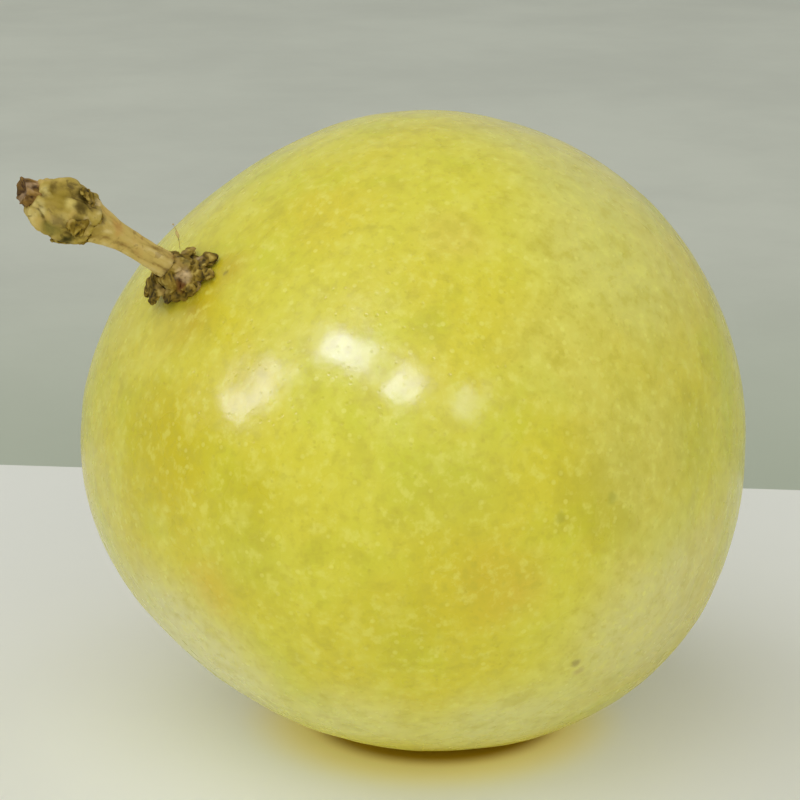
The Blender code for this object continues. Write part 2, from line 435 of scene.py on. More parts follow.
        # Darker round the stalk's foot: partly the rind's own deeper tone, partly painted shade
        # under the collar.
        frayed = recipe.shifted(0.6 * MM, 1.5 * MM)
        stalk_stain_and_shade = recipe.distance(stalk_end, frayed).rise(3.2 * MM, 5.2 * MM, 0.55, 0.0)
        colour = recipe.mix(stalk_stain_and_shade, colour, self.pore)
        frayed = recipe.shifted(0.3 * MM, 0.9 * MM)
        scar = recipe.distance(blossom_end, frayed).rise(0.6 * MM, 1.5 * MM, 0.85, 0.0)
        colour = recipe.mix(scar, colour, self.speck)

        peel = recipe.noise(self.peel_size * MM, 2.0)
        grain = recipe.noise(self.grain_size * MM, 2.0)
        relief = peel * 0.5 + grain * 0.22 + dots * 0.10 - pores * 0.18
        rough = recipe.noise(4 * MM, 2.0) * 0.14 + dots * 0.10 + 0.20
        return recipe.surface(
            Base_Color=colour,
            Roughness=rough,
            Normal=recipe.bump(relief, self.relief_depth * MM),
            Coat_Weight=0.16,
            Coat_Roughness=0.13,
            Subsurface_Weight=0.12,
            Subsurface_Scale=1.2 * MM,
            Subsurface_Radius=(1.0, 0.7, 0.15),
            Specular_IOR_Level=0.32,
        )


@dataclass(frozen=True)
class DryFinish:
    """A dried plant surface: pale ridges and dark folds, in part painted highlight and painted
    shade; streaks and spots. Sizes are in mm.
    """

    name: str
    ridge: Colour
    middle: Colour
    hollow: Colour
    spot: Colour
    blush: Colour
    blush_share: float = 0.0
    spot_share: float = 0.6
    roughness: float = 0.7
    mottle_size: float = 0.9
    streak_size: float = 0.35
    streak_stretch: float = 0.16
    blush_size: float = 1.6
    spot_size: float = 0.75
    relief_depth: float = 0.12
    patches: tuple[Patch, ...] = ()

    def make(self, turn: Matrix) -> bpy.types.Material:
        """The finish.

        Args:
            turn: turns +Z to run along the piece, which the streaks follow.

        Returns:
            The finished material.
        """
        recipe = Recipe(self.name)
        angles = tuple(turn.inverted().to_euler())
        along = recipe.add("ShaderNodeMapping", {}, {"Vector": recipe.place, "Rotation": angles})
        stretch = (1.0, 1.0, self.streak_stretch)
        stretched = recipe.add("ShaderNodeMapping", {}, {"Vector": along, "Scale": stretch})
        fold = recipe.add("ShaderNodeAttribute", {"attribute_name": "fold"}, output="Fac")
        mottle = recipe.noise(self.mottle_size * MM, 3.0, 0.6)
        streak = recipe.noise(self.streak_size * MM, 3.0, 0.6, where=stretched)
        # Darker in the folds' hollows and paler on their ridges: partly the tissue's own tone,
        # partly painted shade and painted highlight, with mottle and streaks mixed in.
        shade = fold * 0.55 + mottle * 0.5 + streak * 0.3 - 0.4
        colour = recipe.mix(shade.rise(-0.05, 0.30), self.hollow, self.middle)
        colour = recipe.mix(shade.rise(0.28, 0.75), colour, self.ridge)
        blush = recipe.noise(self.blush_size * MM, 2.0).rise(0.52, 0.66) * self.blush_share
        colour = recipe.mix(blush, colour, self.blush)
        ragged = recipe.shifted(0.4 * MM, 1.1 * MM)
        spots = recipe.noise(self.spot_size * MM, 2.0, 0.4, where=ragged).rise(0.60, 0.68)
        colour = recipe.mix(spots * self.spot_share, colour, self.spot)
        colour = recipe.lay(colour, self.patches, recipe.shifted(0.35 * MM, 0.8 * MM))
        relief = streak * 0.5 + mottle * 0.5
        return recipe.surface(
            Base_Color=colour,
            Roughness=mottle * 0.2 + (self.roughness - 0.1),
            Normal=recipe.bump(relief, self.relief_depth * MM),
            Specular_IOR_Level=0.1,
        )


STRAW = DryFinish(
    "dry_column",
    ridge=(0.71, 0.585, 0.27),
    middle=(0.56, 0.42, 0.120),
    hollow=(0.27, 0.165, 0.040),
    spot=(0.22, 0.12, 0.035),
    blush=(0.58, 0.385, 0.11),
    blush_share=0.5,
    spot_share=0.4,
    patches=(
        # A near-black spot where the column goes into the cup: painted shade in the crevice there.
        Patch((-39.7, -1.9, 59.3), 1.1, (0.11, 0.070, 0.018), 0.95),
        Patch((-40.3, -2.0, 58.0), 1.3, (0.34, 0.235, 0.040), 0.75),
        Patch((-37.4, -1.2, 57.9), 1.2, (0.56, 0.33, 0.090), 0.70),
    ),
)
CUP = DryFinish(
    "dry_flower_base",
    ridge=(0.68, 0.57, 0.23),
    middle=(0.42, 0.31, 0.060),
    hollow=(0.11, 0.070, 0.012),
    spot=(0.12, 0.085, 0.025),
    blush=(0.58, 0.42, 0.12),
    blush_share=0.6,
    spot_share=0.5,
    patches=(
        Patch((-43.9, -2.3, 61.7), 2.0, (0.30, 0.215, 0.022), 0.85),
        # Palest straw on the cup's upper left, in the next two patches: partly its own colour,
        # partly a painted highlight.
        Patch((-46.3, -2.1, 60.5), 1.4, (0.80, 0.70, 0.30), 0.90),
        Patch((-45.1, -2.1, 62.7), 1.3, (0.76, 0.67, 0.27), 0.85),
        Patch((-44.5, -1.5, 58.7), 1.4, (0.19, 0.165, 0.030), 0.80),
        Patch((-42.9, -2.4, 60.9), 1.0, (0.62, 0.50, 0.140), 0.90),
        # Near-black patches on the cup's fruit side, in the next three: partly dark tissue, partly
        # painted shade in its crevices.
        Patch((-41.1, -1.4, 61.5), 1.1, (0.10, 0.070, 0.010), 0.90),
        Patch((-41.9, -2.3, 60.5), 1.1, (0.09, 0.060, 0.008), 0.95),
        Patch((-42.5, -2.4, 59.3), 1.1, (0.10, 0.065, 0.010), 0.95),
        Patch((-44.1, -2.3, 59.6), 1.1, (0.26, 0.19, 0.055), 0.90),
        # A near-black spot low on the cup's fruit side: painted shade in a crevice.
        Patch((-43.0, -1.2, 57.5), 1.3, (0.02, 0.02, 0.003), 0.95),
        Patch((-41.4, -2.3, 59.2), 0.8, (0.66, 0.54, 0.28), 0.90),
        # The near-black spot where the column goes into the cup: painted shade in the crevice
        # there.
        Patch((-39.9, -1.9, 59.4), 1.2, (0.09, 0.055, 0.015), 0.95),
        Patch((-39.6, -1.2, 60.3), 0.7, (0.66, 0.52, 0.26), 0.80),
    ),
)
BROKEN = DryFinish(
    "broken_stalk",
    ridge=(0.55, 0.36, 0.12),
    middle=(0.25, 0.140, 0.030),
    hollow=(0.05, 0.022, 0.006),
    spot=(0.03, 0.018, 0.01),
    blush=(0.64, 0.44, 0.24),
    blush_share=0.5,
)
SHRIVELLED = DryFinish(
    "shrivelled_flower",
    ridge=(0.52, 0.39, 0.085),
    middle=(0.22, 0.145, 0.016),
    hollow=(0.030, 0.020, 0.004),
    spot=(0.03, 0.022, 0.008),
    blush=(0.50, 0.35, 0.11),
    blush_share=0.5,
    roughness=0.8,
    patches=(
        Patch((-34.3, 0.2, 51.0), 1.7, (0.045, 0.038, 0.010), 0.75),
        Patch((-33.5, -1.3, 51.0), 1.3, (0.035, 0.030, 0.008), 0.85),
        Patch((-32.5, -2.1, 54.8), 1.3, (0.44, 0.31, 0.085), 0.75),
        Patch((-30.6, -2.2, 54.3), 1.0, (0.085, 0.070, 0.020), 0.80),
        Patch((-29.5, -2.3, 53.0), 0.7, (0.03, 0.02, 0.01), 0.90),
        Patch((-28.8, -1.8, 53.5), 0.9, (0.70, 0.52, 0.34), 0.85),
        Patch((-31.4, -2.7, 52.8), 1.1, (0.66, 0.49, 0.26), 0.90),
        Patch((-31.6, -2.5, 51.6), 0.9, (0.15, 0.055, 0.010), 0.90),
        Patch((-30.0, -2.9, 51.4), 1.0, (0.64, 0.46, 0.28), 0.85),
        Patch((-27.7, -1.6, 52.8), 1.8, (0.54, 0.40, 0.080), 0.85),
    ),
)


@dataclass(frozen=True)
class CardFinish:
    """Plain matt card or board, slightly uneven in tone, with soft tints and painted shade laid on
    it, and a painted glow where given.
    """

    name: str
    tone: Colour
    uneven: float = 0.035
    grain: float = 60.0
    roughness: float = 0.6
    tints_and_painted_shade: tuple[Patch, ...] = ()
    glow: tuple[Patch, ...] = ()
    cloud_shade: float = 0.55

    def make(self) -> bpy.types.Material:
        """The finish, whose glow stands in for light off and through the fruit.

        Returns:
            The finished material.
        """
        recipe = Recipe(self.name)
        cloud = recipe.noise(self.grain * MM, 6.0, 0.65).rise(0.3, 0.7, 0.0, self.uneven)
        shade = tuple(value * self.cloud_shade for value in self.tone)
        colour = recipe.mix(cloud, self.tone, shade)
        colour = recipe.lay(colour, self.tints_and_painted_shade, recipe.place)
        extra: dict[str, object] = {}
        if self.glow:
            lit = recipe.lay((0.0, 0.0, 0.0), self.glow, recipe.place)
            extra = {"Emission_Color": lit, "Emission_Strength": 1.0}
        return recipe.surface(
            Base_Color=colour, Roughness=self.roughness, Specular_IOR_Level=0.25, **extra
        )


# Mesh helpers ----------------------------------------------------------------


def smooth_noise(point: Vector, size: float, seed: float) -> float:
    """Noise from -1 to 1 whose lumps are about size metres across."""
    return noise.noise(point / size + Vector((seed, seed * 1.7, -seed)))


def crease(point: Vector, size: float, seed: float) -> float:
    """Noise with sharp valleys, from 0 in a valley to about 1, like a crumpled skin."""
    return min(1.0, 2.2 * abs(smooth_noise(point, size, seed)))


@dataclass(frozen=True)
class Crumple:
    """Folds or lumps: their size in mm, their depth, their seed and their squeeze along z."""

    size: float
    depth: float
    seed: float
    squeeze: float = 1.0

    def lumps(self, point: Vector) -> float:
        """Soft lumps at a point, from -1 to 1."""
        squeezed = Vector((point.x, point.y, point.z * self.squeeze))
        return smooth_noise(squeezed, self.size * MM, self.seed)

    def folds(self, point: Vector) -> float:
        """Sharp-valleyed folds at a point, from 0 in a valley to 1."""
        squeezed = Vector((point.x, point.y, point.z * self.squeeze))
        return crease(squeezed, self.size * MM, self.seed)


def smooth_path(points: Outline, per_span: int) -> list[tuple[float, float]]:
    """A smooth line through points, as an open Catmull-Rom curve.

    Args:
        points: the points that it passes through.
        per_span: how many steps lie between two of them.

    Returns:
        The finer points, with both ends.
    """

    def between(p: float, q: float, r: float, s: float, t: float) -> float:
        """The curve's value a share t of the way from q to r, with p before and s after them."""
        square, cube = 2 * p - 5 * q + 4 * r - s, 3 * q - p - 3 * r + s
        return 0.5 * (2 * q + (r - p) * t + square * t**2 + cube * t**3)

    ends = [points[0], *points, points[-1]]
    fine = [
        tuple(between(*values, step / per_span) for values in zip(*around))
        for around in zip(ends, ends[1:], ends[2:], ends[3:])
        for step in range(per_span)
    ]
    return [*fine, tuple(points[-1])]


def turned(outline: Outline, steps: int, closed: bool) -> bmesh.types.BMesh:
    """Turns an outline of (radius, height) in millimetres about +Z.

    Args:
        outline: the points to turn; an open one starts and ends on the axis.
        steps: how many steps make the full turn.
        closed: whether the outline's last point joins its first.

    Returns:
        The turned mesh, with its seam and poles merged.
    """
    bm = bmesh.new()
    corners = [bm.verts.new((radius * MM, 0, height * MM)) for radius, height in outline]
    edges = [bm.edges.new(pair) for pair in zip(corners, corners[1:])]
    if closed:
        edges.append(bm.edges.new((corners[-1], corners[0])))
    bmesh.ops.spin(
        bm,
        geom=corners + edges,
        cent=(0, 0, 0),
        axis=(0, 0, 1),
        angle=2 * math.pi,
        steps=steps,
        use_merge=True,
    )
    bmesh.ops.remove_doubles(bm, verts=bm.verts, dist=1e-7)
    return bm


def rod(sides: int, rings: int) -> bmesh.types.BMesh:
    """A rod of radius 1 and length 1 along +Z, in rings, to be shaped afterwards.

    Args:
        sides: how many sides its round section has.
        rings: how many lengths it is extruded in.

    Returns:
        The rod, closed at both ends.
    """
    bm = bmesh.new()
    bmesh.ops.create_circle(bm, cap_ends=True, segments=sides, radius=1)
    end = bm.faces[:][0]
    for _ in range(rings):
        grown = bmesh.ops.extrude_face_region(bm, geom=[end, *end.edges])["geom"]
        end = next(item for item in grown if isinstance(item, bmesh.types.BMFace))
        bmesh.ops.translate(bm, vec=(0, 0, 1 / rings), verts=end.verts)
    for cap in [face for face in bm.faces if len(face.verts) > 4]:
        bmesh.ops.poke(bm, faces=[cap])
    return bm


def rumple(bm: bmesh.types.BMesh, shape: Rumple) -> bmesh.types.BMesh:
    """Moves every point and notes how far up its fold it lies.

    Args:
        bm: the mesh to shape.
        shape: gives a point's new place, and its fold from 0 in a hollow to 1 on a ridge.

    Returns:
        The same mesh, with its folds in the layer that the dry finishes read for their painted
        shade and highlight.
    """
    layer = bm.verts.layers.float.get("fold") or bm.verts.layers.float.new("fold")
    for vert in bm.verts:
        vert.co, vert[layer] = shape(vert.co.copy())
    return bm


def join(parts: Iterable[bmesh.types.BMesh]) -> bmesh.types.BMesh:
    """Puts several meshes into one.

    Args:
        parts: the meshes, which are freed.

    Returns:
        The joined mesh.
    """
    whole = bmesh.new()
    for part in parts:
        mesh = bpy.data.meshes.new("part")
        part.to_mesh(mesh)
        part.free()
        whole.from_mesh(mesh)
        bpy.data.meshes.remove(mesh)
    return whole


def add_piece(
    name: str,
    bm: bmesh.types.BMesh,
    finish: bpy.types.Material,
    stands_for: Sequence[str],
) -> bpy.types.Object:
    """Makes a finished piece that rides on the fruit.

    Args:
        name: the piece's name.
        bm: its mesh, in place.
        finish: its material.
        stands_for: the CAD nodes that it replaces.

    Returns:
        The piece.
    """
    bmesh.ops.recalc_face_normals(bm, faces=bm.faces)
    mesh = bpy.data.meshes.new(name)
    bm.to_mesh(mesh)
    bm.free()
    mesh.materials.append(finish)
    mesh.shade_smooth()
    piece = bpy.data.objects.new(name, mesh)
    bpy.context.scene.collection.objects.link(piece)
    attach(piece, Body.ROOT.value)
    if stands_for:
        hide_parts(*stands_for)
    log.info("%s: %d faces", name, len(mesh.polygons))
    return piece


# Shapes ----------------------------------------------------------------------


@dataclass(frozen=True)
class FruitShape:
    """The rind's shape and how it lies. Its axis is +Z, stalk end up, before it is laid over."""

    width: float = 0.0696
    length: float = 0.0707
    height: float = 0.0660
    lobe_rise: float = 0.0012
    lobe_breadth: float = 0.0003
    lobes: int = 3
    blossom_fullness: float = 0.0007
    shoulder_depth: float = 0.0003
    shoulder_spread: float = math.radians(20)
    blossom_depth: float = 0.0005
    blossom_spread: float = math.radians(9)
    axis_rise: float = math.radians(38.8)
    rest_flat_width: float = 0.0150

    def radius(self, directions: np.ndarray) -> np.ndarray:
        """How far the rind lies from the middle along each unit direction.

        Args:
            directions: unit directions, one to a row.

        Returns:
            One radius for each.
        """
        across = np.hypot(directions[:, 0], directions[:, 1])
        ovoid = 1 / np.hypot(across / (self.width / 2), directions[:, 2] / (self.length / 2))
        polar = np.arctan2(across, directions[:, 2])
        round_axis = np.arctan2(directions[:, 1], directions[:, 0])
        lobes = self.lobe_rise * across**2 * np.cos(self.lobes * round_axis)
        lobes -= self.lobe_breadth * across**4 * np.cos(2 * self.lobes * round_axis)
        fullness = -self.blossom_fullness * np.cos(3 * polar)
        shoulder = self.shoulder_depth * np.exp(-((polar / self.shoulder_spread) ** 2))
        dimple = self.blossom_depth * np.exp(-(((math.pi - polar) / self.blossom_spread) ** 2))
        return ovoid + lobes + fullness - shoulder - dimple

    def lay_over(self) -> Matrix:
        """The turn that tips the axis from +Z towards -X, then makes the fruit squat."""
        tip = Matrix.Rotation(self.axis_rise - math.pi / 2, 4, "Y")
        return Matrix.Diagonal((1, 1, self.height / self.width, 1)) @ tip

    def place(self) -> Matrix:
        """Places the fruit's own frame so that its settled flat lies on z = 0 about the origin.

        Returns:
            The placing matrix.
        """
        angles = np.linspace(0, 2 * math.pi, 721)
        directions = np.stack([np.sin(angles), 0 * angles, np.cos(angles)], axis=1)
        laid = np.array(self.lay_over().to_3x3())
        points = (directions * self.radius(directions)[:, None]) @ laid.T
        low = points[np.argmin(points[:, 2])]
        flat_depth = self.rest_flat_width**2 / (4 * self.width)
        return Matrix.Translation((-low[0], 0, -low[2] - flat_depth)) @ self.lay_over()

    def pole(self, end: int) -> Vector:
        """Where the axis leaves the rind: end is 1 at the stalk, -1 at the blossom end."""
        reach = float(self.radius(np.array([[0.0, 0.0, float(end)]]))[0])
        return self.place() @ Vector((0, 0, end * reach))

    def stalk_rise(self) -> float:
        """How steeply the stalk starts, square to the rind."""
        square = self.place().to_3x3().inverted().transposed() @ Vector((0, 0, 1))
        return math.atan2(square.z, -square.x)


@dataclass(frozen=True)
class StalkLine:
    """The stalk's middle line: an arc that droops from the rind, then runs straight on."""

    seat: Vector
    rise: float
    length: float = 0.0133
    droop: float = math.radians(12)
    straight_from: float = 0.0124

    def frame(self, distance: float) -> Matrix:
        """The frame at a point of the line, +Z onwards and +Y level.

        Args:
            distance: how far along the line it is from the rind.

        Returns:
            The frame.
        """
        along = min(distance, self.straight_from)
        bend = self.droop / self.length
        rise_here = self.rise - bend * along
        out = (math.sin(self.rise) - math.sin(rise_here)) / bend
        up = (math.cos(rise_here) - math.cos(self.rise)) / bend
        turn = Matrix.Rotation(rise_here - math.pi / 2, 4, "Y")
        onward = Matrix.Translation((0, 0, distance - along))
        return Matrix.Translation(self.seat + Vector((-out, 0, up))) @ turn @ onward

    def bend(self, bm: bmesh.types.BMesh) -> bmesh.types.BMesh:
        """Lays a mesh that was made straight up +Z onto the line.

        Args:
            bm: the mesh to bend.

        Returns:
            The same mesh.
        """
        for vert in bm.verts:
            vert.co = self.frame(vert.co.z) @ Vector((vert.co.x, vert.co.y, 0))
        return bm


@dataclass
class Fruit:
    """The fruit: a fine ball pushed out to the rind's shape, gently waved, with a settled foot."""

    shape: FruitShape = field(default_factory=FruitShape)
    cuts: int = 125
    waves: tuple[tuple[float, float], ...] = (
        (26 * MM, 0.16 * MM),
        (10 * MM, 0.060 * MM),
        (4.6 * MM, 0.026 * MM),
        (2.4 * MM, 0.014 * MM),
    )
    waves_each: int = 9
    seed: int = 7
    settle: float = 0.12 * MM

    def undulation(self, points: np.ndarray) -> np.ndarray:
        """The rind's gentle waves.

        Args:
            points: points on the rind, one to a row.

        Returns:
            How far each is pushed out, in metres.
        """
        draw = np.random.default_rng(self.seed)
        total = np.zeros(len(points))
        for size, height in self.waves:
            ways = draw.normal(size=(self.waves_each, 3))
            ways /= np.linalg.norm(ways, axis=1)[:, None]
            starts = draw.uniform(0, 2 * math.pi, self.waves_each)
            wave = np.sin(points @ ways.T * (2 * math.pi / size) + starts)
            total += height * wave.mean(axis=1) * 2
        return total

    def build(self) -> bpy.types.Object:
        """Builds the fruit in its rind.

        Returns:
            The fruit.
        """
        bm = bmesh.new()
        bmesh.ops.create_cube(bm, size=2)
        bmesh.ops.subdivide_edges(bm, edges=bm.edges, cuts=self.cuts, use_grid_fill=True)
        finish = RindFinish().make(self.shape.pole(1), self.shape.pole(-1))
        piece = add_piece("fruit_in_rind", bm, finish, ["fruit"])
        points = np.empty(len(piece.data.vertices) * 3)
        piece.data.vertices.foreach_get("co", points)
        points = np.tan(points.reshape(-1, 3) * (math.pi / 4))
        directions = points / np.linalg.norm(points, axis=1)[:, None]
        radius = self.shape.radius(directions)
        radius += self.undulation(directions * radius[:, None])
        place = np.array(self.shape.place())
        points = (directions * radius[:, None]) @ place[:3, :3].T + place[:3, 3]
        points[:, 2] = (points[:, 2] + np.sqrt(points[:, 2] ** 2 + self.settle**2)) / 2
        piece.data.vertices.foreach_set("co", points.ravel())
        piece.data.update()
        return piece


@dataclass
class StalkColumn:
    """The slim dry column between the rind and the flower base, ribbed and a little twisted."""

    line: StalkLine
    radius: float = 1.24
    foot_radius: float = 1.62
    head_radius: float = 2.15
    foot: float = -0.5
    head: float = 14.0
    ribs: int = 5
    rib_depth: float = 0.06
    twist: float = 90.0
    wrinkles: Crumple = Crumple(0.7, 0.07, 3.1, 0.3)
    swelling: Crumple = Crumple(2.6, 0.06, 8.2)

    def shape(self, point: Vector) -> tuple[Vector, float]:
        """Ribs, twists and wrinkles the turned column.

        Args:
            point: a point of the plain column.

        Returns:
            Its new place, and how far up its fold it lies.
        """
        round_axis = math.atan2(point.y, point.x)
        rib = math.cos(self.ribs * round_axis + self.twist * point.z)
        wrinkle = self.wrinkles.folds(point)
        scale = 1 + self.rib_depth * rib
        scale += self.wrinkles.depth * (wrinkle - 0.5)
        scale += self.swelling.depth * self.swelling.lumps(point)
        fold = 0.5 + 0.22 * rib + 0.5 * (wrinkle - 0.4)
        return Vector((point.x * scale, point.y * scale, point.z)), fold

    def build(self) -> bpy.types.Object:
        """Builds the column.

        Returns:
            The column.
        """
        outline = smooth_path(
            [
                (0, self.foot),
                (self.foot_radius, self.foot + 0.05),
                (self.foot_radius, 0.6),
                (self.radius * 1.08, 2.4),
                (self.radius, 4.6),
                (self.radius * 0.98, 7.0),
                (self.radius * 1.10, 9.0),
                (self.radius * 1.40, 10.8),
                (self.head_radius, 12.4),
                (self.head_radius * 0.9, self.head - 0.05),
                (0, self.head),
            ],
            9,
        )
        bm = self.line.bend(rumple(turned(outline, 60, False), self.shape))
        finish = STRAW.make(self.line.frame(6 * MM))
        return add_piece("stalk_column", bm, finish, ["stalk"])


@dataclass(frozen=True)
class Shred:
    """One withered strip: its turn about the stalk, its start, its lean, its size and its curl.

    Its start is its distance out and its height. Lengths are in millimetres and angles in
    degrees. Its tip is its width there, as a share of the width at its foot.
    """

    turn: float
    start: tuple[float, float]
    lean: float
    length: float
    width: float
    thickness: float = 0.5
    curl: float = 40.0
    twist: float = 20.0
    seed: float = 1.0
    tip: float = 0.45
    ragged: float = 0.35
    fold_size: float = 0.55
    fold_depth: float = 0.22

    def make(self) -> bmesh.types.BMesh:
        """Makes the strip, round a straight +Z axis.

        Returns:
            The crumpled strip.
        """
        bm = rod(16, 14)
        curl, twist = math.radians(self.curl), math.radians(self.twist)
        start = Matrix.Translation((self.start[0] * MM, 0, self.start[1] * MM))
        heading = Matrix.Rotation(math.pi / 2 - math.radians(self.lean), 4, "Y")
        base = Matrix.Rotation(math.radians(self.turn), 4, "Z") @ start @ heading

        def shape(point: Vector) -> tuple[Vector, float]:
            """Flattens, narrows, bends and crumples the rod.

            Args:
                point: a point of the rod.

            Returns:
                Its new place, and how far up its fold it lies.
            """
            u = point.z
            rounded_end = math.sqrt(max(0.02, 1 - (max(0.0, u - 0.8) / 0.21) ** 2))
            taper = (1 - (1 - self.tip) * u) * rounded_end
            lengthwise = Vector((point.x, point.y, u * 3))
            ragged = 1 + self.ragged * smooth_noise(lengthwise, 0.8, self.seed)
            flat = Vector((point.x * self.thickness / 2, point.y * self.width / 2, 0))
            flat = flat * taper * ragged * MM
            flat = Matrix.Rotation(twist * u, 3, "Z") @ flat
            angle = curl * u
            reach = self.length * MM
            arc = reach * math.sin(angle) / curl
            drop = reach * (1 - math.cos(angle)) / curl
            bent = Vector((drop, 0, arc)) + Matrix.Rotation(angle, 3, "Y") @ flat
            folds = crease(bent + Vector((0, 0, self.seed * MM)), self.fold_size * MM, self.seed)
            bump = self.fold_depth * MM * (folds - 0.45)
            outward = flat.normalized() if flat.length > 0 else Vector((0, 0, 1))
            return base @ (bent + outward * bump), folds

        return rumple(bm, shape)


@dataclass
class StamenRing:
    """The crumpled collar of fused stamen bases round the stalk's foot, and its stamens."""

    line: StalkLine
    outline: Outline = (
        (1.25, -0.45),
        (2.2, -0.5),
        (2.75, -0.3),
        (3.0, 0.25),
        (2.8, 0.8),
        (2.35, 1.2),
        (2.15, 1.7),
        (1.95, 2.2),
        (1.75, 2.65),
        (1.5, 2.75),
        (1.25, 2.2),
    )
    crumple: Crumple = Crumple(1.25, 0.55, 4.4)
    fine_crumple: Crumple = Crumple(0.5, 0.16, 9.1)
    lift: Crumple = Crumple(1.4, 0.3, 6.0)
    lobes: int = 5
    lobe_depth: float = 0.14
    lobe_phase: float = 0.9
    still_within: float = 1.3
    squash: tuple[float, float] = (0.86, 1.12)
    stamens: tuple[Shred, ...] = (
        Shred(20, (1.9, 0.9), 2, 1.6, 2.0, 0.9, 30, 15, 1.3),
        Shred(70, (1.9, 1.0), 14, 2.0, 2.2, 1.0, 40, -25, 2.1),
        Shred(112, (2.0, 1.3), 18, 2.1, 2.0, 1.0, 60, -20, 2.9),
        Shred(140, (1.9, 1.9), 8, 2.6, 2.5, 1.2, 60, 25, 4.7),
        Shred(168, (1.8, 1.5), 12, 2.3, 2.0, 1.1, 50, -30, 5.3),
        Shred(205, (1.9, 1.0), 2, 1.5, 2.2, 0.9, 30, 10, 6.1),
        Shred(262, (2.1, 0.8), 4, 1.9, 2.1, 1.0, 32, -30, 7.7),
        Shred(290, (2.2, 0.7), 2, 2.9, 2.3, 1.1, 34, -15, 8.9),
        Shred(318, (2.2, 0.6), 0, 2.7, 2.2, 1.0, 24, 20, 9.4),
    )
    whisker: Shred = Shred(4, (2.2, 2.2), 36, 2.6, 0.16, 0.14, -28, 10, 3.3, 0.3)

    def shape(self, point: Vector) -> tuple[Vector, float]:
        """Crumples the turned collar into folds, and leaves its inside next to the stalk still.

        Args:
            point: a point of the plain collar.

        Returns:
            Its new place, and how far up its fold it lies.
        """
        round_axis = math.atan2(point.y, point.x)
        folds = self.crumple.folds(point)
        fine = self.fine_crumple.folds(point)
        lobes = math.cos(self.lobes * round_axis - self.lobe_phase)
        out = self.crumple.depth * (folds - 0.4) + self.fine_crumple.depth * (fine - 0.4)
        out = (out + self.lobe_depth * lobes) * MM
        reach = math.hypot(point.x, point.y)
        share = min(1.0, max(0.0, (reach / MM - self.still_within) / 0.7))
        lift = self.lift.depth * MM * self.lift.lumps(point) * share
        scale = 1 + out * share / reach
        narrow, wide = (1 + (side - 1) * share for side in self.squash)
        where = Vector((point.x * scale * narrow, point.y * scale * wide, point.z + lift))
        return where, 0.62 * folds + 0.42 * fine

    def build(self) -> list[bpy.types.Object]:
        """Builds the collar, its stamens and the one thread that still stands.

        Returns:
            The three pieces.
        """
        nodes = [f"stamen_{index}" for index in range(1, 6)]
        finish = SHRIVELLED.make(self.line.frame(0))
        closed = smooth_path([*self.outline, self.outline[0]], 5)[:-1]
        ring = self.line.bend(rumple(turned(closed, 120, True), self.shape))
        strips = self.line.bend(join(strip.make() for strip in self.stamens))
        thread = self.line.bend(self.whisker.make())
        return [
            add_piece("stamen_collar", ring, finish, ["stamen_ring"]),
            add_piece("withered_stamens", strips, finish, nodes),
            add_piece("dried_filament", thread, STRAW.make(self.line.frame(0)), []),
        ]


